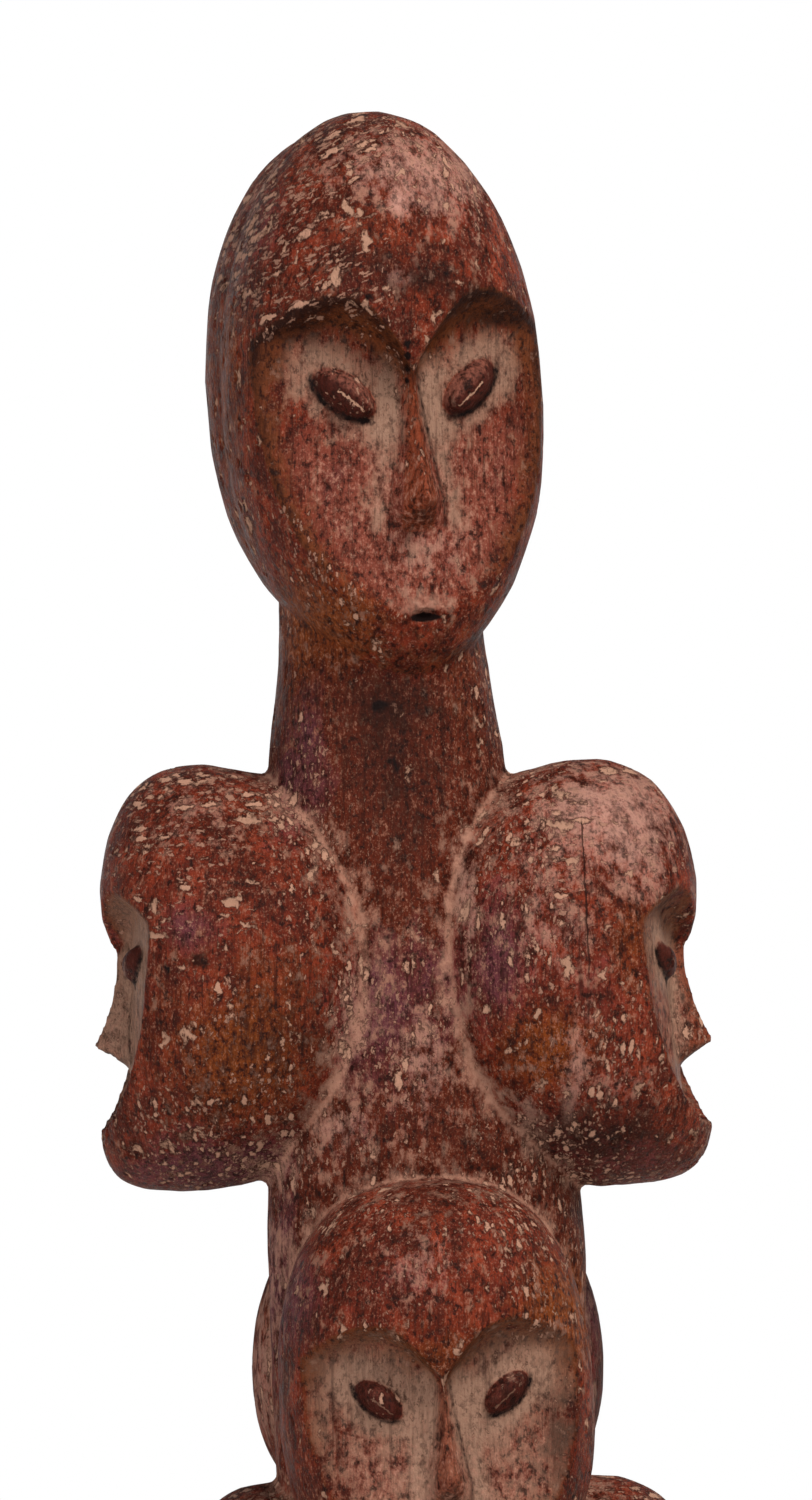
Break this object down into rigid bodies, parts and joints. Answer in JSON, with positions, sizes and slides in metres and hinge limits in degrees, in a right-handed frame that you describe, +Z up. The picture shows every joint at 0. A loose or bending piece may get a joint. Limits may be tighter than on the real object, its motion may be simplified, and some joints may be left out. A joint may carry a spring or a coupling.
{
  "type": "initiation figure",
  "caption": "Carved hardwood initiation figure: heads with hollowed mask-like faces grow outwards from one trunk on a low round base, in worn red-brown patina with pale clay in the cuts.",
  "frame": {"origin": "middle of the figure's outline seen from above, at the height of the ground it stands on", "axes": "+Z is up, along the figure; the face in front looks along -Y; +X is to the right of someone facing it, and the side heads look along -X and +X"},
  "size_m": [0.131, 0.103, 0.4198],
  "materials": {
    "figure": "oxblood-stained hardwood, worn to a dull sheen, with pale clay left in cuts and creases"
  },
  "bodies": {
    "root": {"figure": "figure"}
  },
  "joints": []
}
